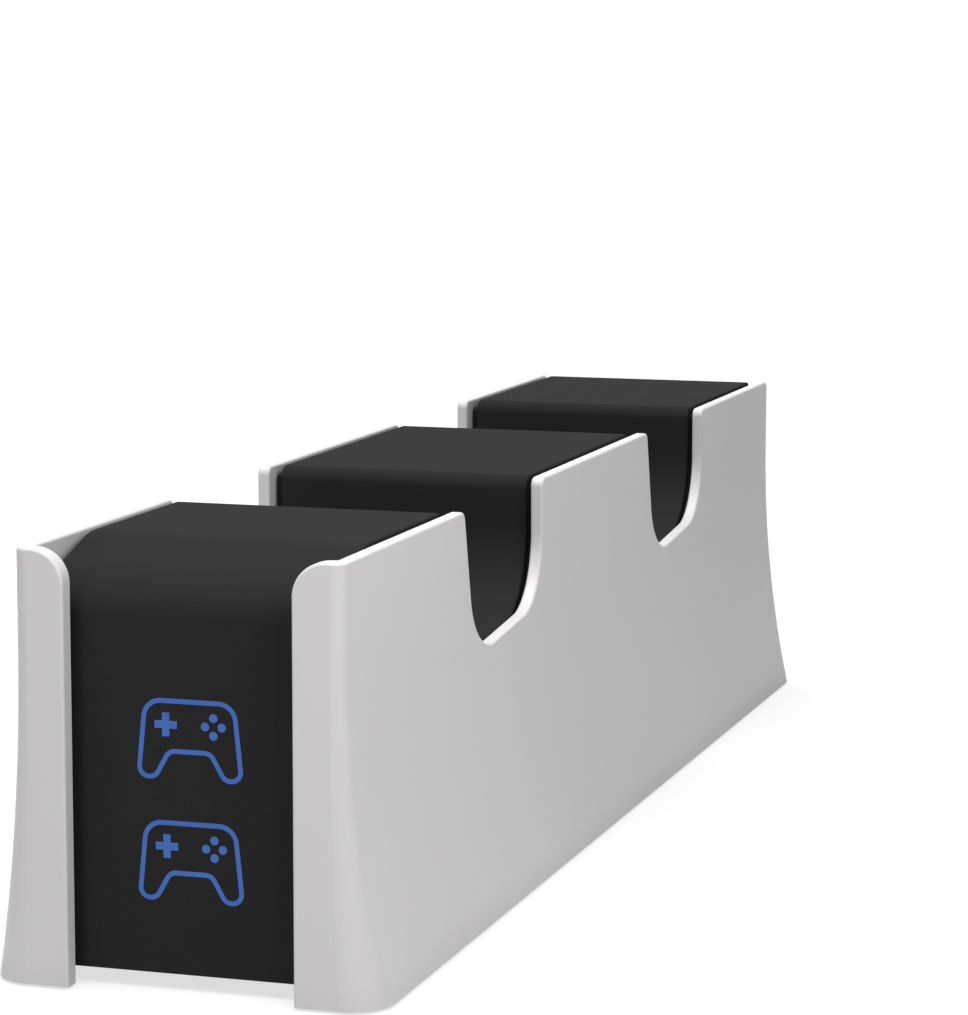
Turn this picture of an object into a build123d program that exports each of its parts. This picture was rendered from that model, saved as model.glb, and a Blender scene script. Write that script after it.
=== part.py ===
"""Charging dock for two game controllers, as separate moulded, metal and electronic pieces.

Millimetres. X runs across the dock, Y from front to rear and Z up.
The origin lies on the table, under the middle of the dock.
"""
import os
from math import cos, atan2, sqrt

from build123d import *

os.makedirs("parts", exist_ok=True)

# Overall size
length = 267.5
base_width = 61.6
top_width = 50.8
height = 65.0

# Side panels: a flared wall with a return that wraps round the front
panel_wall = 2.1
panel_lift = 0.4
flare_height = 50.0
flare_sections = 6
upright_sections = 3
return_wall = 3.0
return_gap = 1.8
return_opening = 35.0
return_round = 5.2
corner_top = 2.2
corner_base = 6.5
panel_rim = 0.45
panel_inner_corner = 0.3
panel_fit = 0.2

# Wells: each has a leaning front, a gently rising floor and an upright back
front_block = 56.0
rear_block = 57.5
well_length = 42.5
well_depth = 23.8
well_lean = 5.6
well_rise = 3.4
well_front_round = 11.0
well_back_round = 12.0
well_lip_round = 1.5
well_margin = 2.0

# Upper housing
wall = 2.0
cap_drop = 0.1
nose_length = 14.5
nose_fall = 4.6
nose_upper_round = 15.0
nose_front_round = 7.0
block_front_round = 2.2
block_back_round = 0.6
reveal_width = 1.2
reveal_depth = 1.6
cap_rim = 0.4
rear_recess = 2.0

# Base plate and feet
floor_gap = 2.45
plate_thickness = 2.4
plate_fit = 0.3
pad_radius = 4.5
pad_height = 1.6
foot_radius = 5.0
foot_pocket = 1.0
foot_fit = 0.2
foot_edge = 0.6
foot_inset = 38.0
foot_side_inset = 7.4

# Screws
base_screw_radius = 1.2
base_screw_length = 10.0
base_head_radius = 2.4
base_head_height = 1.8
base_head_sink = 0.4
small_screw_radius = 1.0
small_head_radius = 1.9
small_head_height = 1.4
panel_screw_radius = 1.1
panel_screw_length = 4.0
panel_head_radius = 3.4
panel_head_height = 1.5
thread_fit = 0.05
head_fit = 0.3
pilot_spare = 0.6

# Screw bosses
boss_radius = 3.2
boss_root = 0.6
base_screw_inset = 16.0
panel_boss_radius = 2.5
panel_boss_height = 26.0
panel_screw_inset = 38.0
panel_screw_middle = 22.0

# Charging plugs and their boards
plug_setback = 22.5
plug_width = 8.3
plug_depth = 2.5
plug_shell = 0.3
plug_reach = 6.4
plug_socket = 3.0
plug_body_width = 13.0
plug_body_depth = 6.4
plug_body_rise = 2.5
plug_body_round = 2.0
plug_body_edge = 0.5
plug_fit = 0.2
seat_width = 34.0
seat_depth = 16.0
seat_height = 6.5
plug_board_margin = 1.0
plug_board_thickness = 1.6
plug_screw_spread = 12.5
plug_screw_grip = 4.5

# Main board
board_width = 28.0
board_length = 82.0
board_thickness = 1.6
board_gap = 0.5
standoff_height = 4.0
standoff_radius = 2.5
standoff_inset_x = 3.0
standoff_inset_y = 13.0
board_screw_grip = 3.0
board_hole_fit = 0.15

# Input socket
socket_width = 8.9
socket_height = 3.3
socket_length = 7.4
socket_wall = 0.3
socket_tongue = 0.7
socket_tongue_width = 6.6
socket_back = 1.2
socket_fit = 0.2
socket_inset = 0.4

# Pieces on the main board
chip_size = 6.0
chip_height = 1.0
inductor_size = 7.0
inductor_height = 3.6
inductor_round = 1.4
inductor_pitch = 11.0
capacitor_radius = 2.5
capacitor_height = 6.0
capacitor_pitch = 7.0
component_pitch = 14.0
lead_socket_depth = 4.0
lead_socket_height = 4.5

# Flat leads between the boards
lead_width = 5.0
lead_thickness = 1.0
lead_bend = 3.0
lead_pitch = 8.0
lead_rise = 5.0

# Indicator: a generic controller outline with a cross and four dots, as two light guides
icon_width = 16.8
icon_height = 12.0
icon_low = 19.3
icon_pitch = 18.0
icon_depth = 0.8
icon_stroke = 0.72
icon_shoulder = 14.4
icon_shoulder_round = 3.0
icon_grip_width = 3.2
icon_grip_round = 1.8
icon_crotch_width = 6.0
icon_crotch_height = 3.9
icon_crotch_round = 1.2
icon_key_spread = 3.7
icon_key_height = 2.15
icon_cross_span = 3.5
icon_cross_arm = 1.15
icon_dot_radius = 0.65
icon_dot_ring = 1.3
icon_post_radius = 0.3
guide_plate = 1.0
guide_margin = 0.8
lamp_width = 2.0
lamp_height = 1.2
lamp_depth = 0.6
lamp_gap = 0.2
indicator_board_thickness = 1.2
indicator_board_margin = 2.5
indicator_boss_radius = 2.4
indicator_screw_gap = 1.0
indicator_screw_bite = 2.6

# Planes and lines that follow from the sizes above
front = -length / 2
rear = length / 2
top_half = top_width / 2
flare = (base_width - top_width) / 2
flare_radius = (flare_height**2 + flare**2) / (2 * flare)
well_starts = (front + front_block, rear - rear_block - well_length)
well_bottom = height - well_depth
return_back = front + return_wall
housing_front = return_back + return_gap
housing_rear = rear - rear_recess
housing_top = height - cap_drop
cheek_half = top_half - panel_wall - panel_fit
core_half = cheek_half - reveal_width
cavity_half = cheek_half - wall
cavity_front = housing_front + wall
cavity_rear = housing_rear - wall
plate_top = floor_gap + plate_thickness
pad_top = plate_top + pad_height
rear_view = Plane.XZ.offset(-housing_rear)


def spread(z):
    """How far the side has moved outwards at height z."""
    reach = max(flare_height - z, 0)
    return flare_radius - sqrt(flare_radius**2 - reach**2)


def panel_inside(z):
    """Half the clear width between the panels at height z."""
    return top_half + spread(z) - panel_wall


def well_floor(setback):
    """Height of a well's floor at a distance behind its front edge."""
    slope = well_rise / (well_length - well_lean)
    return well_bottom + slope * (setback - well_lean)


def well_view(start, grow):
    """Side view of one well, enlarged by grow, with x along the dock and y up."""
    back = start + well_length
    clear = height + well_margin
    with BuildSketch() as view:
        with BuildLine():
            Polyline(
                (start - well_lean * well_margin / well_depth, clear),
                (start + well_lean, well_bottom),
                (back, well_bottom + well_rise),
                (back, clear),
                close=True,
            )
        make_face()
        fillet(view.vertices().sort_by(Axis.Y)[0], well_front_round)
        fillet(view.vertices().group_by(Axis.X)[-1].sort_by(Axis.Y)[0], well_back_round)
        if grow > 0:
            offset(amount=grow)
    return view.sketch


def upper_corners(view):
    """Corners on the upper edge of a side view, from front to rear."""
    return view.vertices().group_by(Axis.Y)[-1].sort_by(Axis.X)


def both_sides(x, rows):
    """Points at plus and minus x in each of the rows."""
    return [(side * x, row) for row in rows for side in (-1, 1)]


# Side views of a panel and of the housing
with BuildSketch() as panel_view:
    with Locations((0, panel_lift)):
        Rectangle(length, height - panel_lift, align=(Align.CENTER, Align.MIN))
    for start in well_starts:
        add(well_view(start, 0), mode=Mode.SUBTRACT)
    fillet(upper_corners(panel_view)[1:], well_lip_round)

with BuildSketch() as nose_corner:
    with BuildLine():
        Polyline(
            (housing_front, housing_top),
            (housing_front, housing_top - nose_fall),
            (housing_front + nose_length, housing_top),
            close=True,
        )
    make_face()

with BuildSketch() as housing_view:
    with Locations((housing_front, floor_gap)):
        Rectangle(housing_rear - housing_front, housing_top - floor_gap, align=Align.MIN)
    for start in well_starts:
        add(well_view(start, well_margin), mode=Mode.SUBTRACT)
    add(nose_corner.sketch, mode=Mode.SUBTRACT)
    fillet(upper_corners(housing_view)[2::2], block_front_round)
    fillet(upper_corners(housing_view)[1::2], block_back_round)
    fillet(upper_corners(housing_view)[0], nose_upper_round)
    fillet(housing_view.vertices().group_by(Axis.X)[0].sort_by(Axis.Y)[-1], nose_front_round)

with BuildSketch() as skin_view:
    add(housing_view.sketch)
    offset(amount=-wall)
    with Locations((cavity_front, floor_gap)):
        Rectangle(cavity_rear - cavity_front, wall, align=Align.MIN)

# Places of the screws
base_screw_rows = (cavity_front + base_screw_inset, 0, cavity_rear - base_screw_inset)
base_screw_spots = both_sides(cavity_half - boss_radius + boss_root, base_screw_rows)
panel_screw_rows = (
    front + panel_screw_inset,
    -panel_screw_middle,
    panel_screw_middle,
    rear - panel_screw_inset,
)
panel_screw_spots = [(row, panel_boss_height) for row in panel_screw_rows]
plate_half = panel_inside(plate_top) - plate_fit
foot_spots = both_sides(plate_half - foot_side_inset, (front + foot_inset, rear - foot_inset))

# Places of the plugs: the seat under each well carries the plug's board
plug_rows = [start + plug_setback for start in well_starts]
plug_floor = well_floor(plug_setback) - well_margin / cos(atan2(well_rise, well_length - well_lean))
plug_body_top = plug_floor + plug_body_rise
seat_bottom = plug_floor - seat_height
plug_board_bottom = seat_bottom - plug_board_thickness
plug_screw_spots = both_sides(plug_screw_spread, plug_rows)

# Places on the main board
board_bottom = plate_top + standoff_height
board_top = board_bottom + board_thickness
board_rear = cavity_rear - board_gap
board_front = board_rear - board_length
board_middle = (board_front + board_rear) / 2
standoff_rows = (board_front + standoff_inset_y, board_rear - standoff_inset_y)
standoff_spots = both_sides(board_width / 2 - standoff_inset_x, standoff_rows)
socket_middle = board_top + socket_height / 2
socket_mouth = housing_rear - socket_inset

# The controller outline, its centre line and the posts that carry light through the front
icon_levels = (icon_low, icon_low + icon_pitch)
half_icon = icon_height / 2
crotch_level = icon_crotch_height - half_icon
grip_inner = icon_width / 2 - icon_grip_width
with BuildSketch() as icon_outline:
    with BuildLine():
        Polyline(
            (0, half_icon),
            (icon_shoulder / 2, half_icon),
            (icon_width / 2, -half_icon),
            (grip_inner, -half_icon),
            (icon_crotch_width / 2, crotch_level),
            (0, crotch_level),
        )
        mirror(about=Plane.YZ)
    make_face()
    upper = icon_outline.vertices().group_by(Axis.Y)[-1]
    fillet([upper.sort_by(Axis.X)[0], upper.sort_by(Axis.X)[-1]], icon_shoulder_round)
    fillet(icon_outline.vertices().group_by(Axis.Y)[0], icon_grip_round)
    for side in (-1, 1):
        crotch = icon_outline.vertices().sort_by_distance((side * icon_crotch_width / 2, crotch_level))[0]
        fillet(crotch, icon_crotch_round)

with BuildSketch() as icon_line:
    add(icon_outline.sketch)
    offset(amount=-icon_stroke / 2)

with BuildSketch() as icon_keys:
    with Locations((-icon_key_spread, icon_key_height)):
        Rectangle(icon_cross_span, icon_cross_arm)
        Rectangle(icon_cross_arm, icon_cross_span)
    with Locations((icon_key_spread, icon_key_height)):
        with PolarLocations(icon_dot_ring, 4):
            Circle(icon_dot_radius)

with BuildSketch() as icon_relief:
    add(icon_outline.sketch)
    offset(icon_outline.sketch, amount=-icon_stroke, mode=Mode.SUBTRACT)
    add(icon_keys.sketch)

with BuildSketch() as icon_posts:
    with Locations([edge @ 0.5 for edge in icon_line.edges().filter_by(GeomType.LINE)]):
        Circle(icon_post_radius)
    with Locations([face.center() for face in icon_keys.faces()]):
        Circle(icon_post_radius)

icon_planes = [Plane((0, housing_front, level), x_dir=(1, 0, 0), z_dir=(0, -1, 0)) for level in icon_levels]
guide_width = icon_width + 2 * guide_margin
guide_height = icon_height + 2 * guide_margin
lamp_face = wall + guide_plate + lamp_gap
indicator_face = lamp_face + lamp_depth
indicator_screw_x = guide_width / 2 + indicator_boss_radius + indicator_screw_gap
indicator_middle = icon_low + icon_pitch / 2
indicator_width = 2 * (indicator_screw_x + indicator_boss_radius)
indicator_height = icon_pitch + guide_height + 2 * indicator_board_margin
indicator_plane = Plane((0, housing_front, indicator_middle), x_dir=(1, 0, 0), z_dir=(0, -1, 0))
indicator_screw_spots = [(-indicator_screw_x, 0), (indicator_screw_x, 0)]

# Right panel: plan sections rise from the table to the straight upper wall, and the side view trims them
flare_steps = [step / flare_sections for step in range(flare_sections)]
upright_steps = [step / upright_sections for step in range(upright_sections + 1)]
panel_levels = [panel_lift + (flare_height - panel_lift) * step for step in flare_steps]
panel_levels += [flare_height + (height - flare_height) * step for step in upright_steps]
return_curve = min(return_round, panel_inside(height) - panel_inner_corner - return_opening / 2)
with BuildPart() as right_panel:
    for level in panel_levels:
        outside = top_half + spread(level)
        corner = corner_top + (corner_base - corner_top) * spread(level) / flare
        with BuildSketch(Plane.XY.offset(level)) as plan:
            with BuildLine():
                Polyline(
                    (return_opening / 2, front),
                    (outside, front),
                    (outside, rear),
                    (outside - panel_wall, rear),
                    (outside - panel_wall, return_back),
                    (return_opening / 2, return_back),
                    close=True,
                )
            make_face()
            fillet(plan.vertices().sort_by_distance((outside, front))[0], corner)
            fillet(
                plan.vertices().sort_by_distance((outside - panel_wall, return_back))[0],
                max(corner - panel_wall, panel_inner_corner),
            )
    loft()
    with BuildSketch(Plane.YZ):
        add(panel_view.sketch)
    extrude(amount=base_width, mode=Mode.INTERSECT)
    with BuildSketch(Plane.XZ.offset(-front)):
        with Locations((return_opening / 2, height)):
            Rectangle(return_curve, return_curve, align=(Align.MIN, Align.MAX))
        with Locations((return_opening / 2 + return_curve, height - return_curve)):
            Circle(return_curve, mode=Mode.SUBTRACT)
    extrude(amount=-return_wall, mode=Mode.SUBTRACT)
    sides = right_panel.faces().sort_by(SortBy.AREA)[-2:]
    fillet([edge for edge in sides.edges() if edge.center().Z > well_bottom - panel_rim], panel_rim)
    with BuildSketch(Plane.YZ.offset(cavity_half + panel_fit)):
        with Locations(panel_screw_spots):
            Circle(panel_boss_radius)
    extrude(amount=panel_inside(panel_boss_height) + panel_wall / 2 - cavity_half - panel_fit)
    with BuildSketch(Plane.YZ.offset(cavity_half)):
        with Locations(panel_screw_spots):
            Circle(panel_screw_radius + thread_fit)
    extrude(amount=panel_screw_length + thread_fit, mode=Mode.SUBTRACT)

with BuildPart() as left_panel:
    mirror(right_panel.part, about=Plane.YZ)

# Upper housing: one moulded shell with the nose, the three block tops and the two wells
with BuildPart() as upper_housing:
    with BuildSketch(Plane.YZ):
        add(housing_view.sketch)
    extrude(amount=core_half, both=True)
    ends = upper_housing.faces().filter_by(Axis.X)
    fillet([edge for edge in ends.edges() if edge.center().Z > floor_gap + wall], cap_rim)
    with BuildSketch(Plane.YZ):
        add(housing_view.sketch)
        offset(amount=-reveal_depth)
    extrude(amount=cheek_half, both=True)
    with BuildSketch(rear_view):
        with BuildLine():
            low = (panel_inside(floor_gap) - panel_fit, floor_gap)
            waist_height = (floor_gap + flare_height) / 2
            waist = (panel_inside(waist_height) - panel_fit, waist_height)
            shoulder = (cheek_half, flare_height)
            Line((0, floor_gap), low)
            ThreePointArc(low, waist, shoulder)
            Polyline(shoulder, (cheek_half, housing_top - reveal_depth), (0, housing_top - reveal_depth))
            mirror(about=Plane.YZ)
        make_face()
    extrude(amount=wall)
    with BuildSketch(Plane.YZ):
        add(skin_view.sketch)
    extrude(amount=cavity_half, both=True, mode=Mode.SUBTRACT)
    with BuildSketch(Plane.XY.offset(seat_bottom)):
        with Locations([(0, row) for row in plug_rows]):
            Rectangle(seat_width, seat_depth)
    extrude(amount=height - seat_bottom)
    with BuildSketch(Plane.XY.offset(pad_top)):
        with Locations(base_screw_spots):
            Circle(boss_radius)
    extrude(amount=housing_top - wall / 2 - pad_top)
    with BuildSketch(Plane.YZ):
        for start in well_starts:
            add(well_view(start, well_margin))
    extrude(amount=core_half, both=True, mode=Mode.SUBTRACT)
    with BuildSketch(indicator_plane):
        with Locations(indicator_screw_spots):
            Circle(indicator_boss_radius)
    extrude(amount=-indicator_face)
    with BuildSketch(Plane.XY.offset(pad_top)):
        with Locations(base_screw_spots):
            Circle(base_screw_radius + thread_fit)
    extrude(amount=base_screw_length, mode=Mode.SUBTRACT)
    with BuildSketch(Plane.XY.offset(seat_bottom)):
        with Locations(plug_screw_spots):
            Circle(small_screw_radius + thread_fit)
    extrude(amount=plug_screw_grip + pilot_spare, mode=Mode.SUBTRACT)
    with BuildSketch(Plane.XY.offset(seat_bottom)):
        with Locations([(0, row) for row in plug_rows]):
            RectangleRounded(plug_body_width + 2 * plug_fit, plug_body_depth + 2 * plug_fit, plug_body_round)
    extrude(amount=height - seat_bottom, mode=Mode.SUBTRACT)
    with BuildSketch(indicator_plane.offset(-indicator_face)):
        with Locations(indicator_screw_spots):
            Circle(small_screw_radius + thread_fit)
    extrude(amount=indicator_screw_bite + thread_fit, mode=Mode.SUBTRACT)
    with BuildSketch(Plane.YZ):
        with Locations(panel_screw_spots):
            Circle(panel_boss_radius + panel_fit)
    extrude(amount=base_width, both=True, mode=Mode.SUBTRACT)
    for icon_plane in icon_planes:
        with BuildSketch(icon_plane):
            add(icon_relief.sketch)
        extrude(amount=-icon_depth, mode=Mode.SUBTRACT)
        with BuildSketch(icon_plane):
            add(icon_posts.sketch)
        extrude(amount=-wall, mode=Mode.SUBTRACT)
    with BuildSketch(rear_view):
        with Locations((0, socket_middle)):
            SlotOverall(socket_width + 2 * socket_fit, socket_height + 2 * socket_fit)
    extrude(amount=wall, mode=Mode.SUBTRACT)
    with BuildSketch(Plane.XY.offset(floor_gap)):
        with Locations((0, cavity_front)):
            Rectangle(base_width, cavity_rear - cavity_front, align=(Align.CENTER, Align.MIN))
    extrude(amount=plate_thickness, mode=Mode.SUBTRACT)

# Base plate with screw pads, board standoffs and pockets for the feet
with BuildPart() as base_plate:
    with BuildSketch(Plane.XY.offset(floor_gap)):
        with Locations((0, cavity_front + plate_fit)):
            Rectangle(
                2 * plate_half, cavity_rear - cavity_front - 2 * plate_fit, align=(Align.CENTER, Align.MIN)
            )
    extrude(amount=plate_thickness)
    with BuildSketch(Plane.XY.offset(plate_top)):
        with Locations(base_screw_spots):
            Circle(pad_radius)
        Rectangle(2 * (cavity_half - plate_fit), length, mode=Mode.INTERSECT)
    extrude(amount=pad_height)
    with BuildSketch(Plane.XY.offset(plate_top)):
        with Locations(standoff_spots):
            Circle(standoff_radius)
    extrude(amount=standoff_height)
    with BuildSketch(Plane.XY.offset(floor_gap)):
        with Locations(base_screw_spots):
            Circle(base_screw_radius + head_fit)
    extrude(amount=pad_top - floor_gap, mode=Mode.SUBTRACT)
    with BuildSketch(Plane.XY.offset(floor_gap)):
        with Locations(base_screw_spots):
            Circle(base_head_radius + head_fit)
    extrude(amount=base_head_sink + base_head_height, mode=Mode.SUBTRACT)
    with BuildSketch(Plane.XY.offset(floor_gap)):
        with Locations(foot_spots):
            Circle(foot_radius + foot_fit)
    extrude(amount=foot_pocket, mode=Mode.SUBTRACT)
    with BuildSketch(Plane.XY.offset(board_bottom)):
        with Locations(standoff_spots):
            Circle(small_screw_radius + thread_fit)
    extrude(amount=-board_screw_grip - pilot_spare, mode=Mode.SUBTRACT)


def foot(spot):
    """One rubber foot, pressed into its pocket in the base plate."""
    with BuildPart() as piece:
        with BuildSketch():
            with Locations(spot):
                Circle(foot_radius)
        extrude(amount=floor_gap + foot_pocket)
        chamfer(piece.edges().group_by(Axis.Z)[0], foot_edge)
    return piece


def plug_piece(row):
    """The moulded body of one plug, which stands on its board and passes through the well's floor."""
    with BuildPart() as piece:
        with BuildSketch(Plane.XY.offset(seat_bottom)):
            with Locations((0, row)):
                RectangleRounded(plug_body_width, plug_body_depth, plug_body_round)
        extrude(amount=plug_body_top - seat_bottom)
        chamfer(piece.edges().group_by(Axis.Z)[-1], plug_body_edge)
        with BuildSketch(Plane.XY.offset(plug_body_top)):
            with Locations((0, row)):
                SlotOverall(plug_width, plug_depth)
        extrude(amount=-plug_socket, mode=Mode.SUBTRACT)
    return piece


def plug_tube(row):
    """The metal shell of one plug, open at the tip and seated in the moulded body."""
    with BuildPart() as piece:
        with BuildSketch(Plane.XY.offset(plug_body_top - plug_socket)):
            with Locations((0, row)):
                SlotOverall(plug_width, plug_depth)
        extrude(amount=plug_socket + plug_reach)
        with BuildSketch(Plane.XY.offset(plug_body_top)):
            with Locations((0, row)):
                SlotOverall(plug_width - 2 * plug_shell, plug_depth - 2 * plug_shell)
        extrude(amount=plug_reach, mode=Mode.SUBTRACT)
    return piece


def plug_card(row):
    """The small board under one plug."""
    with BuildPart() as piece:
        with BuildSketch(Plane.XY.offset(plug_board_bottom)):
            with Locations((0, row)):
                Rectangle(seat_width + 2 * plug_board_margin, seat_depth + 2 * plug_board_margin)
            with Locations([(x, y) for x, y in plug_screw_spots if y == row]):
                Circle(small_screw_radius + board_hole_fit, mode=Mode.SUBTRACT)
        extrude(amount=plug_board_thickness)
    return piece


feet = [foot(spot) for spot in foot_spots]
plug_bodies = [plug_piece(row) for row in plug_rows]
plug_shells = [plug_tube(row) for row in plug_rows]
plug_boards = [plug_card(row) for row in plug_rows]

# Main board
with BuildPart() as main_board:
    with BuildSketch(Plane.XY.offset(board_bottom)):
        with Locations((0, board_middle)):
            Rectangle(board_width, board_length)
        with Locations(standoff_spots):
            Circle(small_screw_radius + board_hole_fit, mode=Mode.SUBTRACT)
    extrude(amount=board_thickness)

# Input socket: a drawn metal shell with its tongue, open towards the rear
with BuildPart() as input_socket:
    with BuildSketch(Plane.XZ.offset(-socket_mouth)):
        with Locations((0, socket_middle)):
            SlotOverall(socket_width, socket_height)
    extrude(amount=socket_length)
    with BuildSketch(Plane.XZ.offset(-socket_mouth)):
        with Locations((0, socket_middle)):
            SlotOverall(socket_width - 2 * socket_wall, socket_height - 2 * socket_wall)
            Rectangle(socket_tongue_width, socket_tongue, mode=Mode.SUBTRACT)
    extrude(amount=socket_length - socket_back, mode=Mode.SUBTRACT)

# Pieces soldered to the main board
with BuildPart() as control_chip:
    with BuildSketch(Plane.XY.offset(board_top)):
        with Locations((0, board_middle)):
            Rectangle(chip_size, chip_size)
    extrude(amount=chip_height)

with BuildPart() as power_inductors:
    with BuildSketch(Plane.XY.offset(board_top)):
        with Locations((0, board_middle - component_pitch)):
            with GridLocations(inductor_pitch, 1, 2, 1):
                RectangleRounded(inductor_size, inductor_size, inductor_round)
    extrude(amount=inductor_height)

with BuildPart() as filter_capacitors:
    with BuildSketch(Plane.XY.offset(board_top)):
        with Locations((0, board_middle + component_pitch)):
            with GridLocations(capacitor_pitch, 1, 3, 1):
                Circle(capacitor_radius)
    extrude(amount=capacitor_height)

# Flat leads from the main board to the two plug boards and to the indicator board
lead_sockets_row = board_front + lead_socket_depth / 2
lead_top = board_top + lead_socket_height
lead_columns = (-lead_pitch, lead_pitch, 0)
with BuildPart() as lead_sockets:
    with BuildSketch(Plane.XY.offset(board_top)):
        with Locations([(x, lead_sockets_row) for x in lead_columns]):
            Rectangle(lead_width, lead_socket_depth)
    extrude(amount=lead_socket_height)


def lead(column, route):
    """A flat lead along a route of straight runs and round bends in one upright plane."""
    with BuildPart() as piece:
        with BuildSketch(Plane.YZ.offset(column - lead_width / 2)):
            with BuildLine():
                FilletPolyline(*route, radius=lead_bend)
            trace(line_width=lead_thickness)
        extrude(amount=lead_width)
    return piece


lead_level = lead_top + lead_rise
indicator_back = housing_front + indicator_face + indicator_board_thickness
front_lead = lead(
    lead_columns[0],
    [
        (lead_sockets_row, lead_top),
        (lead_sockets_row, lead_level),
        (plug_rows[0], lead_level),
        (plug_rows[0], plug_board_bottom),
    ],
)
rear_lead = lead(
    lead_columns[1],
    [
        (lead_sockets_row, lead_top),
        (lead_sockets_row, lead_level),
        (plug_rows[1], lead_level),
        (plug_rows[1], plug_board_bottom),
    ],
)
indicator_lead = lead(
    lead_columns[2],
    [
        (lead_sockets_row, lead_top),
        (lead_sockets_row, lead_level),
        (indicator_back, lead_level),
    ],
)

# Indicator board, its lamps and the light guides in the front
with BuildPart() as indicator_board:
    with BuildSketch(indicator_plane.offset(-indicator_face)):
        Rectangle(indicator_width, indicator_height)
        with Locations(indicator_screw_spots):
            Circle(small_screw_radius + board_hole_fit, mode=Mode.SUBTRACT)
    extrude(amount=-indicator_board_thickness)


def lamp(icon_plane):
    """One lamp on the indicator board, behind a light guide."""
    with BuildPart() as piece:
        with BuildSketch(icon_plane.offset(-lamp_face)):
            Rectangle(lamp_width, lamp_height)
        extrude(amount=-lamp_depth)
    return piece


def light_guide(icon_plane):
    """One light guide: the lit outline flush with the front, its posts and the plate behind the wall."""
    with BuildPart() as piece:
        with BuildSketch(icon_plane):
            add(icon_relief.sketch)
        extrude(amount=-icon_depth)
        with BuildSketch(icon_plane):
            add(icon_posts.sketch)
        extrude(amount=-wall)
        with BuildSketch(icon_plane.offset(-wall)):
            Rectangle(guide_width, guide_height)
        extrude(amount=-guide_plate)
    return piece


lamps = [lamp(icon_plane) for icon_plane in icon_planes]
light_guides = [light_guide(icon_plane) for icon_plane in icon_planes]

# Screws: each group is one node of separate screws
with BuildPart() as base_screws:
    with BuildSketch(Plane.XY.offset(floor_gap + base_head_sink)):
        with Locations(base_screw_spots):
            Circle(base_head_radius)
    extrude(amount=base_head_height)
    with BuildSketch(Plane.XY.offset(floor_gap + base_head_sink)):
        with Locations(base_screw_spots):
            Circle(base_screw_radius)
    extrude(amount=base_head_height + base_screw_length)

with BuildPart() as board_screws:
    with BuildSketch(Plane.XY.offset(board_top)):
        with Locations(standoff_spots):
            Circle(small_head_radius)
    extrude(amount=small_head_height)
    with BuildSketch(Plane.XY.offset(board_top)):
        with Locations(standoff_spots):
            Circle(small_screw_radius)
    extrude(amount=-board_thickness - board_screw_grip)
    with BuildSketch(Plane.XY.offset(plug_board_bottom)):
        with Locations(plug_screw_spots):
            Circle(small_head_radius)
    extrude(amount=-small_head_height)
    with BuildSketch(Plane.XY.offset(plug_board_bottom)):
        with Locations(plug_screw_spots):
            Circle(small_screw_radius)
    extrude(amount=plug_board_thickness + plug_screw_grip)
    with BuildSketch(indicator_plane.offset(-indicator_face - indicator_board_thickness)):
        with Locations(indicator_screw_spots):
            Circle(small_head_radius)
    extrude(amount=-small_head_height)
    with BuildSketch(indicator_plane.offset(-indicator_face - indicator_board_thickness)):
        with Locations(indicator_screw_spots):
            Circle(small_screw_radius)
    extrude(amount=indicator_board_thickness + indicator_screw_bite)

with BuildPart() as panel_screws:
    with BuildSketch(Plane.YZ.offset(cavity_half)):
        with Locations(panel_screw_spots):
            Circle(panel_head_radius)
    extrude(amount=-panel_head_height)
    with BuildSketch(Plane.YZ.offset(cavity_half)):
        with Locations(panel_screw_spots):
            Circle(panel_screw_radius)
    extrude(amount=panel_screw_length)
    mirror(about=Plane.YZ)

# Every piece with its name
pieces = {
    "upper_housing": upper_housing,
    "base_plate": base_plate,
    "left_panel": left_panel,
    "right_panel": right_panel,
    "main_board": main_board,
    "input_socket": input_socket,
    "control_chip": control_chip,
    "power_inductors": power_inductors,
    "filter_capacitors": filter_capacitors,
    "lead_sockets": lead_sockets,
    "front_lead": front_lead,
    "rear_lead": rear_lead,
    "indicator_lead": indicator_lead,
    "indicator_board": indicator_board,
    "base_screws": base_screws,
    "board_screws": board_screws,
    "panel_screws": panel_screws,
}
for place, body, shell, board in zip(("front", "rear"), plug_bodies, plug_shells, plug_boards):
    pieces[f"{place}_plug_body"] = body
    pieces[f"{place}_plug_shell"] = shell
    pieces[f"{place}_plug_board"] = board
for place, piece, guide in zip(("lower", "upper"), lamps, light_guides):
    pieces[f"{place}_lamp"] = piece
    pieces[f"{place}_light_guide"] = guide
for place, piece in zip(("front_left", "front_right", "rear_left", "rear_right"), feet):
    pieces[f"{place}_foot"] = piece

for name, piece in pieces.items():
    piece.part.label = name
    export_step(piece.part, f"parts/{name}.step")
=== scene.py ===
"""Charging dock with two wells: finishes, fine metal detail, light and camera.

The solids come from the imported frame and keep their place. This file gives every
piece its finish, adds the detail that is too fine for the solids, and sets the stage.
"""
from math import pi, radians

import bmesh
import bpy
from bpy.props import FloatProperty, FloatVectorProperty, IntProperty, PointerProperty
from mathutils import Matrix, Vector


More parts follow.
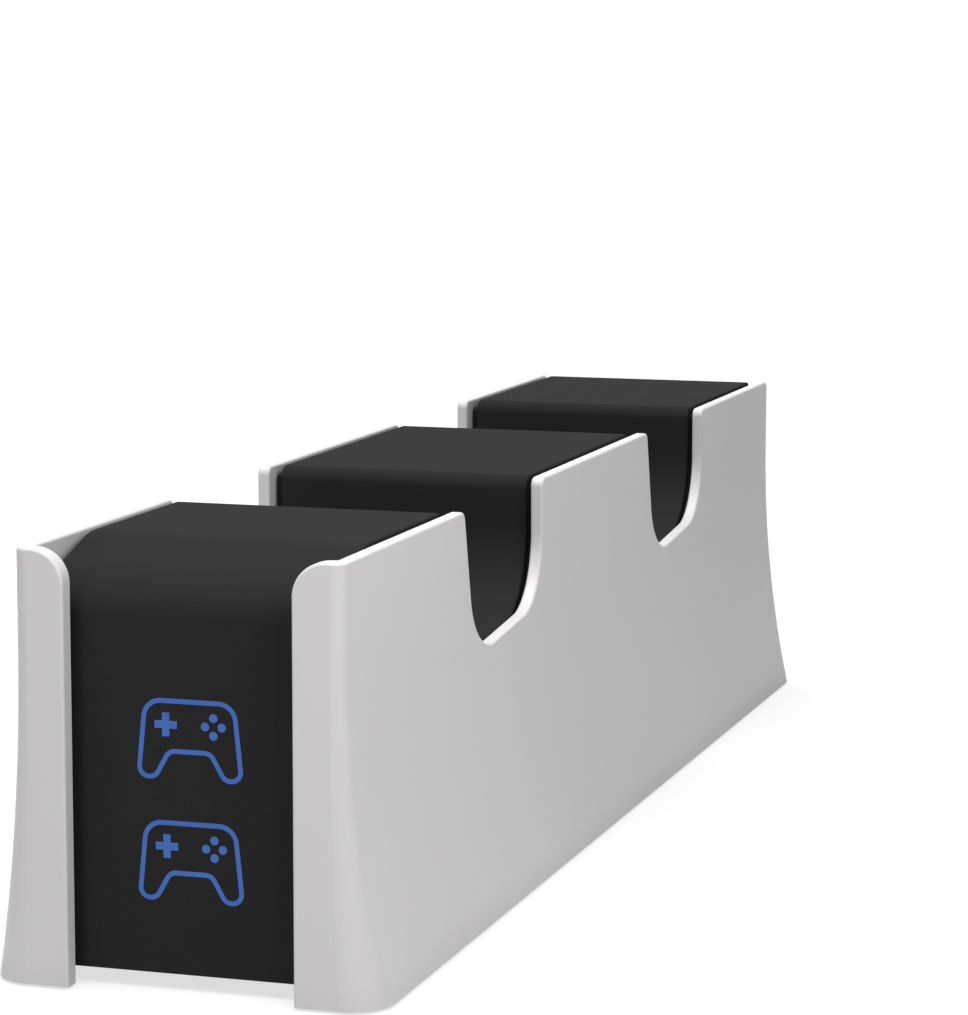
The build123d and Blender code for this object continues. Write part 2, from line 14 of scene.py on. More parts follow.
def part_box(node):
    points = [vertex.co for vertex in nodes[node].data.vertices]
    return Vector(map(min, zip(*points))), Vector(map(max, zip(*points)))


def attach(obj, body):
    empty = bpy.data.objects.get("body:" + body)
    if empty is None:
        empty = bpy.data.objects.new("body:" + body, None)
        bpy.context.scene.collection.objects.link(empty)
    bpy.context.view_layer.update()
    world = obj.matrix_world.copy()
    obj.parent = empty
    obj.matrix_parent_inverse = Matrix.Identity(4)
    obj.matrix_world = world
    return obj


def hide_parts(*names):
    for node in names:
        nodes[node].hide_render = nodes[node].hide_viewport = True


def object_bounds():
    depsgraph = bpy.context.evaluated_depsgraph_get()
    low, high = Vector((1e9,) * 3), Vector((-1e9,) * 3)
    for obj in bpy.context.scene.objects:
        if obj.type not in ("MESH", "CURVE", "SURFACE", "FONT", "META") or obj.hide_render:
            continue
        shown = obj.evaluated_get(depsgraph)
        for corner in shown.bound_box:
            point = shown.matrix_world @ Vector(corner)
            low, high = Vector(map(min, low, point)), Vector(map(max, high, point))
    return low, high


bl_info = {
    "name": "Charging dock finishes",
    "version": (1, 0, 0),
    "blender": (4, 5, 0),
    "location": "View3D > Sidebar > Dock",
    "description": "Finishes, fine metal detail, light and camera for a charging dock",
    "category": "Object",
}

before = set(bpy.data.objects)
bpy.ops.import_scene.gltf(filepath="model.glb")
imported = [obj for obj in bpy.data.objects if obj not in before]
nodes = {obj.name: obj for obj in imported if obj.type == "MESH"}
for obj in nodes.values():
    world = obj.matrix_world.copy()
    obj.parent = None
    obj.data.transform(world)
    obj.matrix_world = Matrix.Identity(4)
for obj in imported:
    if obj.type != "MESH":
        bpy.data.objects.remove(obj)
cad_low, cad_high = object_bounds()
MM = 0.001

# The inlet's tongue, half its width and half its thickness
TONGUE_HALF_WIDTH = 3.3 * MM
TONGUE_HALF_THICKNESS = 0.35 * MM

# The overhead light's spread and turn, and each soft lamp's size, place and what it faces, in metres
SUN_ANGLE = radians(40)
SUN_TURN = (radians(8), radians(-6), 0)
LAMPS = {
    "side": {"size": 0.2, "place": (0.2, -0.22, 0.2), "faces": (0.03, -0.12, 0.03)},
    "front": {"size": 0.1, "place": (-0.1, -0.6, 0.06), "faces": (0.0, -0.13, 0.03)},
    "fill": {"size": 0.4, "place": (-0.3, 0.42, 0.3), "faces": (0.0, 0.0, 0.03)},
}
FLOOR_HALF = 40.0


class Wire:
    """A socket in a material: arithmetic on it adds Math nodes, and add() adds any other node."""

    def __init__(self, tree, socket=None):
        self.tree = tree
        self.socket = socket

    def add(self, kind, settings=None, values=None, output=0):
        """A node of one kind: its settings first, then the values or wires of its sockets."""
        node = self.tree.nodes.new(kind)
        for name, value in (settings or {}).items():
            setattr(node, name, value)
        for name, value in (values or {}).items():
            if isinstance(value, Wire):
                self.tree.links.new(value.socket, node.inputs[name])
            else:
                node.inputs[name].default_value = value
        return Wire(self.tree, node.outputs[output])

    def maths(self, operation, first, second):
        return self.add("ShaderNodeMath", {"operation": operation}, {0: first, 1: second})

    def __add__(self, other):
        return self.maths("ADD", self, other)

    def __radd__(self, other):
        return self.maths("ADD", other, self)

    def __sub__(self, other):
        return self.maths("SUBTRACT", self, other)

    def __rsub__(self, other):
        return self.maths("SUBTRACT", other, self)

    def __mul__(self, other):
        return self.maths("MULTIPLY", self, other)

    def __rmul__(self, other):
        return self.maths("MULTIPLY", other, self)

    def __pow__(self, other):
        return self.maths("POWER", self, other)

    def __abs__(self):
        return self.maths("ABSOLUTE", self, 0.0)

    def wave(self, pitch):
        """A sine of this length, from 0 to 1."""
        return self.maths("SINE", self * (2 * pi / pitch), 0.0) * 0.5 + 0.5

    def step(self, low, high):
        """A smooth step from 0 at low to 1 at high."""
        return self.add(
            "ShaderNodeMapRange",
            {"interpolation_type": "SMOOTHSTEP"},
            {"Value": self, "From Min": low, "From Max": high},
        )

    def mix(self, first, second):
        """Two colours, mixed by this wire."""
        return self.add(
            "ShaderNodeMix", {"data_type": "RGBA"}, {0: self, 6: first, 7: second}, output=2
        )


class Finish:
    """A new material with its shader, its object coordinates and the textures that finishes share."""

    def __init__(self, name, constants):
        self.material = bpy.data.materials.new(name)
        self.material.use_nodes = True
        self.tree = self.material.node_tree
        self.shader = self.tree.nodes["Principled BSDF"]
        for socket, value in constants.items():
            self.shader.inputs[socket].default_value = value
        self.wire = Wire(self.tree)
        self.place = self.wire.add("ShaderNodeTexCoord", output=3)

    def axes(self):
        """The three object coordinates, in metres."""
        split = self.wire.add("ShaderNodeSeparateXYZ", values={"Vector": self.place}).socket.node
        return [Wire(self.tree, socket) for socket in split.outputs]

    def noise(self, size, detail=2.0, stretch=(1.0, 1.0, 1.0)):
        """Noise from 0 to 1 whose features are about one size across, drawn out by stretch."""
        scale = [1.0 / factor for factor in stretch]
        drawn = self.wire.add("ShaderNodeMapping", values={"Vector": self.place, "Scale": scale})
        return self.wire.add(
            "ShaderNodeTexNoise", values={"Vector": drawn, "Scale": 1.0 / size, "Detail": detail}
        )

    def feed(self, socket, wire):
        self.tree.links.new(wire.socket, self.shader.inputs[socket])

    def relief(self, height, depth):
        """Bump of a real depth from a height between 0 and 1."""
        bump = self.wire.add("ShaderNodeBump", values={"Height": height, "Distance": depth, "Strength": 1.0})
        self.feed("Normal", bump)


def seen(tree):
    """One for rays that show the background, straight or by way of metal or glass, and nought for light."""
    path = tree.nodes.new("ShaderNodeLightPath")
    camera, glossy, through = [
        Wire(tree, path.outputs[name]) for name in ("Is Camera Ray", "Is Glossy Ray", "Is Transmission Ray")
    ]
    return camera + glossy + through


def shade(colour, factor):
    """A colour made darker or lighter, with full alpha."""
    return (*[min(channel * factor, 1.0) for channel in colour[:3]], 1.0)


def dress(material, *names):
    """Gives CAD nodes one material."""
    for name in names:
        nodes[name].data.materials.clear()
        nodes[name].data.materials.append(material)


def moulded(name, colour, roughness, specular, grain, depth, mottle):
    """Moulded plastic: a fine eroded grain, a faint mottle and flow lines along the piece."""
    finish = Finish(name, {"Specular IOR Level": specular})
    cloud = finish.noise(18 * MM, 3.0)
    flow = finish.noise(3 * MM, 2.0, (1.0, 14.0, 1.0))
    pits = finish.noise(grain, 3.0)
    finish.feed("Base Color", cloud.mix(shade(colour, 1 - mottle), shade(colour, 1 + mottle)))
    finish.feed("Roughness", roughness + (cloud - 0.5) * 0.08 + (flow - 0.5) * 0.06)
    finish.relief(pits, depth)
    return finish.material


def panel_plastic(look):
    """White panel plastic with a satin skin, a little darker and rougher along its foot, and a fine grain."""
    finish = Finish("panel_white", {"Specular IOR Level": 0.3})
    cloud = finish.noise(24 * MM, 3.0)
    flow = finish.noise(4 * MM, 2.0, (1.0, 12.0, 1.0))
    pits = finish.noise(look.panel_grain, 3.0)
    height = finish.axes()[2]
    clean = cloud.mix(shade(look.panel_colour, 0.985), shade(look.panel_colour, 1.01))
    # The colour turns a little darker and the skin a little rougher towards the foot.
    foot = 1 - (height + (cloud - 0.5) * (3 * MM)).step(0.5 * MM, 5 * MM)
    finish.feed("Base Color", (foot * 0.35).mix(clean, shade(look.panel_colour, 0.93)))
    finish.feed("Roughness", 0.42 + (cloud - 0.5) * 0.1 + (flow - 0.5) * 0.06 + foot * 0.1)
    finish.relief(pits, look.panel_grain * 0.02)
    return finish.material


def rubber(look):
    """Foot rubber with turned rings on its sole and a dusty skin."""
    finish = Finish("foot_rubber", {"Specular IOR Level": 0.2})
    x, y, _ = finish.axes()
    low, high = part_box("rear_right_foot")
    across = abs(x) - (low.x + high.x) / 2
    along = abs(y) - (low.y + high.y) / 2
    radius = (across * across + along * along) ** 0.5
    dust = finish.noise(1.2 * MM, 4.0)
    finish.feed("Base Color", dust.mix(shade(look.rubber_colour, 0.8), shade(look.rubber_colour, 1.5)))
    finish.feed("Roughness", 0.72 + dust * 0.2)
    finish.relief(radius.wave(1.25 * MM) * 0.8 + dust * 0.2, 0.12 * MM)
    return finish.material


def drawn_metal(finish, colour, roughness, stretch):
    """Tone and gloss of plated metal: fine drawing lines and a faint bloom."""
    lines = finish.noise(0.12 * MM, 3.0, stretch)
    bloom = finish.noise(2 * MM, 3.0)
    finish.relief(lines, 0.004 * MM)
    tone = bloom.mix(shade(colour, 0.9), shade(colour, 1.06))
    return tone, roughness + (lines - 0.5) * 0.16 + (bloom - 0.5) * 0.1


def metal(name, colour, roughness, stretch):
    """Plated metal all over."""
    finish = Finish(name, {"Metallic": 1.0})
    tone, gloss = drawn_metal(finish, colour, roughness, stretch)
    finish.feed("Base Color", tone)
    finish.feed("Roughness", gloss)
    return finish.material


def inlet_steel(look, middle):
    """Drawn steel of the inlet's shell, with a black moulded tongue in its mouth."""
    finish = Finish("inlet_steel", {})
    x, _, z = finish.axes()
    tone, gloss = drawn_metal(finish, look.steel_colour, 0.3, (1.0, 10.0, 1.0))
    inner, outer = 0.02 * MM, 0.1 * MM
    within_width = 1 - abs(x - middle.x).step(TONGUE_HALF_WIDTH + inner, TONGUE_HALF_WIDTH + outer)
    within_thickness = 1 - abs(z - middle.z).step(
        TONGUE_HALF_THICKNESS + inner, TONGUE_HALF_THICKNESS + outer
    )
    tongue = within_width * within_thickness
    finish.feed("Base Color", tongue.mix(tone, shade(look.housing_colour, 0.8)))
    finish.feed("Metallic", 1 - tongue)
    finish.feed("Roughness", gloss + tongue * 0.2)
    return finish.material


def lit_guide(look):
    """Light guide: clear plastic that glows, a little brighter in front of its lamp."""
    finish = Finish("icon_glow", {"Roughness": 0.35, "Specular IOR Level": 0.1, "Emission Strength": 1.0})
    height = finish.axes()[2]
    lamps = [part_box(name) for name in ("lower_lamp", "upper_lamp")]
    low, high = [(box[0].z + box[1].z) / 2 for box in lamps]
    from_middle = abs(abs(height - (low + high) / 2) - (high - low) / 2)
    grain = finish.noise(0.5 * MM, 2.0)
    falling = from_middle.step(1 * MM, 9 * MM) * 0.8 + grain * 0.2
    finish.feed("Emission Color", falling.mix(shade(look.icon_colour, 1.06), shade(look.icon_colour, 0.92)))
    finish.feed("Base Color", grain.mix(shade(look.icon_colour, 0.1), shade(look.icon_colour, 0.16)))
    return finish.material


def board_lacquer(look):
    """Green board lacquer over copper tracks."""
    finish = Finish("board_lacquer", {"Specular IOR Level": 0.5})
    bricks = finish.wire.add(
        "ShaderNodeTexBrick",
        {"offset": 0.5},
        {"Vector": finish.place, "Scale": 260.0, "Mortar Size": 0.06, "Bias": 0.0},
        output=1,
    )
    weave = finish.noise(0.6 * MM, 2.0)
    lacquer = weave.mix(shade(look.board_colour, 0.85), shade(look.board_colour, 1.1))
    finish.feed("Base Color", (bricks * 0.7).mix(lacquer, shade(look.board_colour, 2.1)))
    finish.feed("Roughness", 0.28 + weave * 0.1)
    finish.relief(bricks, 0.03 * MM)
    return finish.material


def piece(name, material, build, nodes_replaced=()):
    """A new piece: its mesh comes from build, it takes a finish and it rides with the dock."""
    mesh = bpy.data.meshes.new(name)
    shape = bmesh.new()
    build(shape)
    bmesh.ops.remove_doubles(shape, verts=shape.verts, dist=1e-7)
    bmesh.ops.recalc_face_normals(shape, faces=shape.faces)
    shape.to_mesh(mesh)
    shape.free()
    mesh.materials.append(material)
    made = bpy.data.objects.new(name, mesh)
    bpy.context.scene.collection.objects.link(made)
    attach(made, "root")
    if nodes_replaced:
        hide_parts(*nodes_replaced)


def contact_places(detail, middle):
    """Where the contacts of one row stand, either side of the middle."""
    first = -(detail.contact_count - 1) / 2
    return [middle + (first + step) * detail.contact_pitch for step in range(detail.contact_count)]


def contact(shape, size, axis, taper, place):
    """One contact bar, tapered towards its tip along one axis."""
    verts = bmesh.ops.create_cube(shape, size=1.0)["verts"]
    bmesh.ops.scale(shape, verts=verts, vec=size)
    tip = [vert for vert in verts if vert.co[axis] > 0]
    bmesh.ops.scale(shape, verts=tip, vec=taper)
    bmesh.ops.translate(shape, verts=verts, vec=place)


class DockFinish(bpy.types.PropertyGroup):
    """Colours and grain of the dock's own pieces."""

    panel_colour: FloatVectorProperty(
        name="Panels",
        description="Colour of the side panels",
        subtype="COLOR", default=(0.78, 0.765, 0.772),
    )
    housing_colour: FloatVectorProperty(
        name="Housing",
        description="Colour of the dark shell",
        subtype="COLOR", default=(0.0283, 0.0283, 0.0286),
    )
    icon_colour: FloatVectorProperty(
        name="Icons", description="Colour of the lit icons", subtype="COLOR", default=(0.0455, 0.111, 0.36)
    )
    rubber_colour: FloatVectorProperty(
        name="Feet", description="Colour of the rubber feet", subtype="COLOR", default=(0.03, 0.03, 0.031)
    )
    steel_colour: FloatVectorProperty(
        name="Steel",
        description="Colour of the plugs and the inlet",
        subtype="COLOR", default=(0.66, 0.66, 0.67),
    )
    screw_colour: FloatVectorProperty(
        name="Screws", description="Colour of the screws", subtype="COLOR", default=(0.3, 0.3, 0.31)
    )
    contact_colour: FloatVectorProperty(
        name="Contacts",
        description="Colour of the plated contacts",
        subtype="COLOR", default=(0.83, 0.62, 0.26),
    )
    board_colour: FloatVectorProperty(
        name="Boards",
        description="Colour of the circuit boards",
        subtype="COLOR", default=(0.02, 0.12, 0.055),
    )
    panel_grain: FloatProperty(
        name="Panel grain", description="Size of the grain on the panels", default=0.35 * MM, unit="LENGTH"
    )
    housing_grain: FloatProperty(
        name="Housing grain", description="Size of the grain on the shell", default=0.3 * MM, unit="LENGTH"
    )


class DockDetail(bpy.types.PropertyGroup):
    """Sizes of the fine metal detail."""

    head_radius: FloatProperty(
        name="Head radius", description="Radius of a screw head", default=2.4 * MM, unit="LENGTH"
    )
    head_height: FloatProperty(
        name="Head height", description="Height of a screw head", default=1.8 * MM, unit="LENGTH"
    )
    shank_radius: FloatProperty(
        name="Shank radius", description="Radius of a screw's shank", default=1.2 * MM, unit="LENGTH"
    )
    recess_span: FloatProperty(
        name="Recess span",
        description="Width of the cross in a screw head",
        default=2.6 * MM, unit="LENGTH",
    )
    recess_arm: FloatProperty(
        name="Recess arm", description="Width of one arm of that cross", default=0.7 * MM, unit="LENGTH"
    )
    recess_depth: FloatProperty(
        name="Recess depth", description="Depth of that cross", default=0.9 * MM, unit="LENGTH"
    )
    contact_count: IntProperty(name="Contacts", description="Contacts in a row of a plug", default=12, min=2)
    contact_pitch: FloatProperty(
        name="Contact pitch",
        description="Step from one contact to the next",
        default=0.5 * MM, unit="LENGTH",
    )
    contact_width: FloatProperty(
        name="Contact width", description="Width of one contact", default=0.26 * MM, unit="LENGTH"
    )
    contact_height: FloatProperty(
        name="Contact height",
        description="How far a contact stands off its wall",
        default=0.12 * MM, unit="LENGTH",
    )


class DockStage(bpy.types.PropertyGroup):
    """Light, floor and camera."""

    floor_colour: FloatVectorProperty(
        name="Floor", description="Colour of the floor", subtype="COLOR", default=(0.3, 0.3, 0.3)
    )
    backdrop: FloatProperty(
        name="Backdrop",
        description="What the floor's own colour lacks of white in the picture",
        default=0.7,
    )
    ambient: FloatProperty(name="Ambient", description="Level of the light from all round", default=0.17)
    overhead: FloatProperty(name="Overhead", description="Level of the soft light from above", default=2.7)
    side: FloatProperty(
        name="Side", description="Power of the soft lamp at the right", default=0.36, unit="POWER"
    )
    front: FloatProperty(
        name="Front", description="Power of the low lamp in front", default=0.35, unit="POWER"
    )
    fill: FloatProperty(
        name="Fill", description="Power of the soft lamp behind the dock", default=1.2, unit="POWER"
    )
    lens: FloatProperty(name="Lens", description="Focal length", default=122.97, subtype="DISTANCE_CAMERA")
    eye: FloatVectorProperty(
        name="Camera",
        description="Place of the camera",
        default=(0.18685, -0.58487, 0.13889), subtype="TRANSLATION",
    )
    pitch: FloatProperty(
        name="Pitch", description="How far the camera looks down", default=radians(7.839), subtype="ANGLE"
    )
    yaw: FloatProperty(
        name="Yaw",
        description="How far the camera is turned to the left",
        default=radians(17.346), subtype="ANGLE",
    )
    roll: FloatProperty(
        name="Roll", description="How far the picture is turned", default=radians(0.082), subtype="ANGLE"
    )


class DOCK_OT_panels(bpy.types.Operator):
    """Finish the two white side panels"""

    bl_idname = "dock.panels"
    bl_label = "Side panels"

    def execute(self, context):
        dress(panel_plastic(context.scene.dock_finish), "left_panel", "right_panel")
        return {"FINISHED"}


class DOCK_OT_housing(bpy.types.Operator):
    """Finish the dark upper shell"""

    bl_idname = "dock.housing"
    bl_label = "Upper shell"

    def execute(self, context):
        look = context.scene.dock_finish
        grain = look.housing_grain
        black = moulded(
            "housing_black", look.housing_colour,
            roughness=0.72, specular=0.006, grain=grain, depth=grain * 0.08, mottle=0.06,
        )
        dress(black, "upper_housing")
        return {"FINISHED"}


class DOCK_OT_base(bpy.types.Operator):
    """Finish the base plate and the rubber feet"""

    bl_idname = "dock.base"
    bl_label = "Base and feet"

    def execute(self, context):
        look = context.scene.dock_finish
        grain = 2 * look.housing_grain
        black = moulded(
            "plate_black", look.housing_colour,
            roughness=0.7, specular=0.2, grain=grain, depth=grain * 0.06, mottle=0.08,
        )
        dress(black, "base_plate")
        feet = [f"{end}_{side}_foot" for end in ("front", "rear") for side in ("left", "right")]
        dress(rubber(look), *feet)
        return {"FINISHED"}


class DOCK_OT_screws(bpy.types.Operator):
    """Model the base screws with cross recesses in their heads"""

    bl_idname = "dock.screws"
    bl_label = "Base screws"

    def execute(self, context):
        look = context.scene.dock_finish
        detail = context.scene.dock_detail
        low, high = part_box("base_screws")
        radius = detail.head_radius
        rows = (low.y + radius, 0.0, high.y - radius)
        spots = [(x, y) for y in rows for x in (low.x + radius, high.x - radius)]

        def build(shape):
            self.screw(shape, detail, high.z - low.z)
            bmesh.ops.translate(shape, verts=shape.verts, vec=(*spots[0], low.z))
            first = [*shape.verts, *shape.edges, *shape.faces]
            for x, y in spots[1:]:
                copy = bmesh.ops.duplicate(shape, geom=first)["geom"]
                verts = [item for item in copy if isinstance(item, bmesh.types.BMVert)]
                bmesh.ops.translate(shape, verts=verts, vec=(x - spots[0][0], y - spots[0][1], 0))

        steel = metal("screw_zinc", look.screw_colour, 0.34, (1.0, 1.0, 1.0))
        dress(steel, "base_screws", "board_screws", "panel_screws")
        piece("base_screw_set", steel, build, ["base_screws"])
        return {"FINISHED"}

    @staticmethod
    def screw(shape, detail, length):
        """One screw on the origin, with the cross recess in its lower end."""
        edge = 0.35 * MM
        point = 1.2 * MM
        tip = 0.2 * MM
        around = 40
        radius, head, shank = detail.head_radius, detail.head_height, detail.shank_radius
        arm, reach = detail.recess_arm / 2, detail.recess_span / 2
        bmesh.ops.create_circle(shape, cap_ends=True, segments=around, radius=radius - edge)
        for axis in (Vector((1, 0, 0)), Vector((0, 1, 0))):
            for place in (-reach, -arm, arm, reach):
                whole = [*shape.verts, *shape.edges, *shape.faces]
                bmesh.ops.bisect_plane(shape, geom=whole, dist=1e-8, plane_co=axis * place, plane_no=axis)
        rim = [item for item in shape.edges if item.is_boundary]
        cross = []
        for face in shape.faces:
            near, far = sorted(abs(part) for part in face.calc_center_median().xy)
            if near < arm and far < reach:
                cross.append(face)
        sunk = bmesh.ops.extrude_face_region(shape, geom=cross)["geom"]
        left_over = [face for face in cross if face.is_valid]
        bmesh.ops.delete(shape, geom=left_over, context="FACES")
        floor = [item for item in sunk if isinstance(item, bmesh.types.BMVert)]
        bmesh.ops.scale(shape, verts=floor, vec=(0.7, 0.7, 1.0))
        bmesh.ops.translate(shape, verts=floor, vec=(0, 0, detail.recess_depth))
        profile = ((radius, edge), (radius, head), (shank, head), (shank, length - point), (tip, length))
        for wide, level in profile:
            grown = bmesh.ops.extrude_edge_only(shape, edges=rim)["geom"]
            verts = [item for item in grown if isinstance(item, bmesh.types.BMVert)]
            rim = [item for item in grown if isinstance(item, bmesh.types.BMEdge)]
            now = max(vert.co.xy.length for vert in verts)
            bmesh.ops.scale(shape, verts=verts, vec=(wide / now, wide / now, 1.0))
            bmesh.ops.translate(shape, verts=verts, vec=(0, 0, level - verts[0].co.z))
        bmesh.ops.holes_fill(shape, edges=rim)


class DOCK_OT_plugs(bpy.types.Operator):
    """Finish the charging plugs and model the contacts inside their shells"""

    bl_idname = "dock.plugs"
    bl_label = "Charging plugs"

    def execute(self, context):
        look = context.scene.dock_finish
        detail = context.scene.dock_detail
        grain = look.housing_grain
        black = moulded(
            "plug_black", look.housing_colour,
            roughness=0.5, specular=0.3, grain=grain, depth=grain * 0.04, mottle=0.08,
        )
        dress(black, "front_plug_body", "rear_plug_body")
        steel = metal("shell_steel", look.steel_colour, 0.26, (1.0, 1.0, 10.0))
        dress(steel, "front_plug_shell", "rear_plug_shell")
        gold = metal("contact_gold", look.contact_colour, 0.22, (1.0, 1.0, 8.0))
        for end in ("front", "rear"):
            low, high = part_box(f"{end}_plug_shell")
            piece(f"{end}_plug_contacts", gold, self.rows(detail, low, high))
        return {"FINISHED"}

    @staticmethod
    def rows(detail, low, high):
        """Two rows of contact springs on the long inner walls of a shell."""
        middle = (low + high) / 2
        wall = 0.3 * MM
        length = 4.2 * MM
        top = high.z - 0.9 * MM
        size = (detail.contact_width, detail.contact_height, length)

        def build(shape):
            for side in (-1, 1):
                face = middle.y + side * ((high.y - low.y) / 2 - wall)
                depth = face - side * detail.contact_height / 2
                for x in contact_places(detail, middle.x):
                    contact(shape, size, 2, (0.7, 0.5, 1.0), (x, depth, top - length / 2))

        return build


class DOCK_OT_inlet(bpy.types.Operator):
    """Finish the power inlet and model the contacts on its tongue"""

    bl_idname = "dock.inlet"
    bl_label = "Power inlet"

    def execute(self, context):
        look = context.scene.dock_finish
        detail = context.scene.dock_detail
        gold = metal("inlet_gold", look.contact_colour, 0.22, (1.0, 8.0, 1.0))
        low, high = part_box("input_socket")
        middle = (low + high) / 2
        dress(inlet_steel(look, middle), "input_socket")
        length = 4.4 * MM
        mouth = high.y - 0.5 * MM
        size = (detail.contact_width, length, detail.contact_height)

        def build(shape):
            for side in (-1, 1):
                level = middle.z + side * (TONGUE_HALF_THICKNESS + detail.contact_height / 2)
                for x in contact_places(detail, middle.x):
                    contact(shape, size, 1, (0.7, 1.0, 0.5), (x, mouth - length / 2, level))

        piece("inlet_contacts", gold, build)
        return {"FINISHED"}


class DOCK_OT_indicator(bpy.types.Operator):
    """Finish the lit icons and the lamps behind them"""

    bl_idname = "dock.indicator"
    bl_label = "Lit icons"

    def execute(self, context):
        look = context.scene.dock_finish
        dress(lit_guide(look), "lower_light_guide", "upper_light_guide")
        lens = moulded(
            "lamp_lens",
            shade(look.icon_colour, 1.8),
            roughness=0.2,
            specular=0.5,
            grain=0.2 * MM,
            depth=0.002 * MM,
            mottle=0.05,
        )
        dress(lens, "lower_lamp", "upper_lamp")
        return {"FINISHED"}


class DOCK_OT_electronics(bpy.types.Operator):
    """Finish the boards, their parts and the flat leads"""

    bl_idname = "dock.electronics"
    bl_label = "Electronics"

    def execute(self, context):
        look = context.scene.dock_finish
        dress(board_lacquer(look), "main_board", "indicator_board", "front_plug_board", "rear_plug_board")
        epoxy = moulded(
            "chip_epoxy", (0.014, 0.014, 0.015),
            roughness=0.55, specular=0.4, grain=0.15 * MM, depth=0.01 * MM, mottle=0.1,
        )
        dress(epoxy, "control_chip")
        ferrite = moulded(
            "coil_ferrite", (0.05, 0.05, 0.053),
            roughness=0.75, specular=0.3, grain=0.4 * MM, depth=0.05 * MM, mottle=0.2,
        )
        dress(ferrite, "power_inductors")
        dress(metal("can_aluminium", (0.74, 0.75, 0.77), 0.3, (1.0, 1.0, 12.0)), "filter_capacitors")
        nylon = moulded(
            "socket_nylon", (0.62, 0.6, 0.54),
            roughness=0.5, specular=0.4, grain=0.4 * MM, depth=0.01 * MM, mottle=0.05,
        )
        dress(nylon, "lead_sockets")
        dress(self.ribbon(), "front_lead", "rear_lead", "indicator_lead")
        return {"FINISHED"}

    @staticmethod
    def ribbon():
        """Grey flat lead with the rounded ridges of its wires, with painted shade in the grooves between
        them.
        """
        finish = Finish("lead_grey", {"Specular IOR Level": 0.4})
        ridges = finish.axes()[0].wave(1.27 * MM)
        film = finish.noise(0.8 * MM, 2.0)
        # Painted shade and light: the grey follows the ridges, darker in the grooves between the wires and
        # lighter on their crests.
        grey_with_painted_groove_shade = (ridges * 0.7 + film * 0.3).mix((0.05, 0.05, 0.055, 1.0), (0.11, 0.11, 0.12, 1.0))
        finish.feed("Base Color", grey_with_painted_groove_shade)
        finish.feed("Roughness", 0.45 + film * 0.15)
        finish.relief(ridges, 0.3 * MM)
        return finish.material


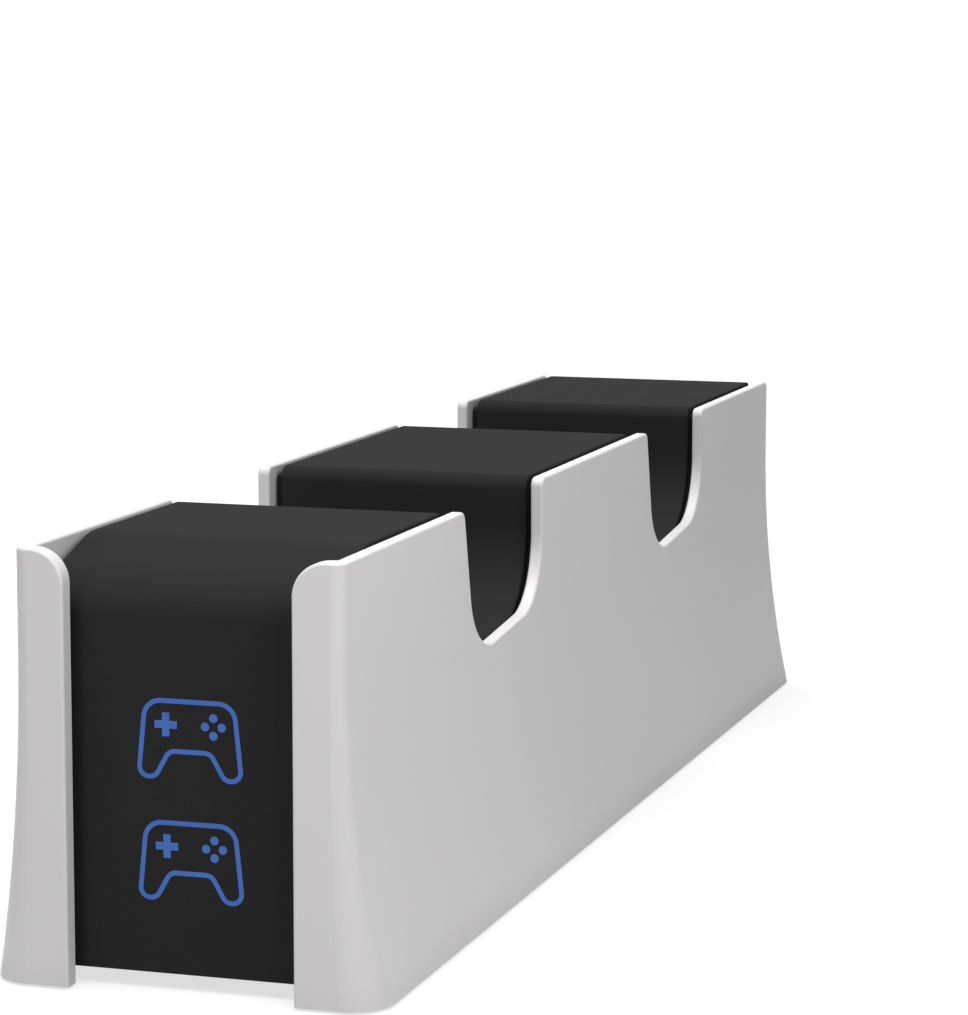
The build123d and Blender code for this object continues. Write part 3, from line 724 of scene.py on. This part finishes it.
class DOCK_OT_stage(bpy.types.Operator):
    """Set the floor, the light and the camera"""

    bl_idname = "dock.stage"
    bl_label = "Stage"

    def execute(self, context):
        stage = context.scene.dock_stage
        self.floor(context, stage)
        self.world(context, stage)
        self.lamps(context, stage)
        self.camera(context, stage)
        context.scene.view_settings.view_transform = "Standard"
        return {"FINISHED"}

    @staticmethod
    def floor(context, stage):
        mesh = bpy.data.meshes.new("floor")
        shape = bmesh.new()
        bmesh.ops.create_grid(shape, x_segments=1, y_segments=1, size=FLOOR_HALF)
        bmesh.ops.translate(shape, verts=shape.verts, vec=(0, 0, cad_low.z))
        shape.to_mesh(mesh)
        shape.free()
        finish = Finish("floor_pale", {"Roughness": 0.9, "Specular IOR Level": 0.0, "Emission Strength": 1.0})
        tone = finish.noise(0.05, 2.0)
        pale = tone.mix(shade(stage.floor_colour, 0.995), shade(stage.floor_colour, 1.005))
        finish.feed("Base Color", pale)
        lit = [stage.backdrop] * 3
        finish.feed("Emission Color", seen(finish.tree).mix((0.0, 0.0, 0.0, 1.0), (*lit, 1.0)))
        mesh.materials.append(finish.material)
        floor = bpy.data.objects.new("floor", mesh)
        context.scene.collection.objects.link(floor)

    @staticmethod
    def world(context, stage):
        world = bpy.data.worlds.new("studio")
        world.use_nodes = True
        context.scene.world = world
        tree = world.node_tree
        soft = [stage.ambient] * 3
        level = seen(tree).mix((*soft, 1.0), (1.0, 1.0, 1.0, 1.0))
        tree.links.new(level.socket, tree.nodes["Background"].inputs["Color"])

    @staticmethod
    def lamps(context, stage):
        sun = bpy.data.lights.new("overhead", "SUN")
        sun.energy = stage.overhead
        sun.angle = SUN_ANGLE
        above = bpy.data.objects.new("overhead", sun)
        above.rotation_euler = SUN_TURN
        context.scene.collection.objects.link(above)
        for name, spot in LAMPS.items():
            soft = bpy.data.lights.new(name, "AREA")
            soft.energy = getattr(stage, name)
            soft.size = spot["size"]
            lamp = bpy.data.objects.new(name, soft)
            lamp.visible_camera = False
            lamp.visible_glossy = False
            lamp.location = spot["place"]
            aim = Vector(spot["faces"]) - Vector(spot["place"])
            lamp.rotation_euler = aim.to_track_quat("-Z", "Y").to_euler()
            context.scene.collection.objects.link(lamp)

    @staticmethod
    def camera(context, stage):
        eye = bpy.data.cameras.new("camera")
        eye.lens = stage.lens
        eye.clip_start = 0.01
        camera = bpy.data.objects.new("camera", eye)
        turn = Matrix.Rotation(stage.yaw, 4, "Z") @ Matrix.Rotation(pi / 2 - stage.pitch, 4, "X")
        turn = turn @ Matrix.Rotation(stage.roll, 4, "Z")
        camera.matrix_world = Matrix.Translation(Vector(stage.eye)) @ turn
        context.scene.collection.objects.link(camera)
        context.scene.camera = camera


OPERATORS = (
    DOCK_OT_panels,
    DOCK_OT_housing,
    DOCK_OT_base,
    DOCK_OT_screws,
    DOCK_OT_plugs,
    DOCK_OT_inlet,
    DOCK_OT_indicator,
    DOCK_OT_electronics,
    DOCK_OT_stage,
)


class DOCK_PT_sidebar(bpy.types.Panel):
    """The dock's pieces and finishes"""

    bl_idname = "DOCK_PT_sidebar"
    bl_label = "Charging dock"
    bl_space_type = "VIEW_3D"
    bl_region_type = "UI"
    bl_category = "Dock"

    def draw(self, context):
        for group in (context.scene.dock_finish, context.scene.dock_detail, context.scene.dock_stage):
            for name in group.__annotations__:
                self.layout.prop(group, name)
        for operator in OPERATORS:
            self.layout.operator(operator.bl_idname)


GROUPS = {"dock_finish": DockFinish, "dock_detail": DockDetail, "dock_stage": DockStage}


def register():
    for name, group in GROUPS.items():
        bpy.utils.register_class(group)
        setattr(bpy.types.Scene, name, PointerProperty(type=group))
    for made in (*OPERATORS, DOCK_PT_sidebar):
        bpy.utils.register_class(made)


def unregister():
    for made in reversed((*OPERATORS, DOCK_PT_sidebar)):
        bpy.utils.unregister_class(made)
    for name, group in GROUPS.items():
        delattr(bpy.types.Scene, name)
        bpy.utils.unregister_class(group)


def main():
    register()
    bpy.ops.dock.panels()
    bpy.ops.dock.housing()
    bpy.ops.dock.base()
    bpy.ops.dock.screws()
    bpy.ops.dock.plugs()
    bpy.ops.dock.inlet()
    bpy.ops.dock.indicator()
    bpy.ops.dock.electronics()
    bpy.ops.dock.stage()


if __name__ == "__main__":
    main()
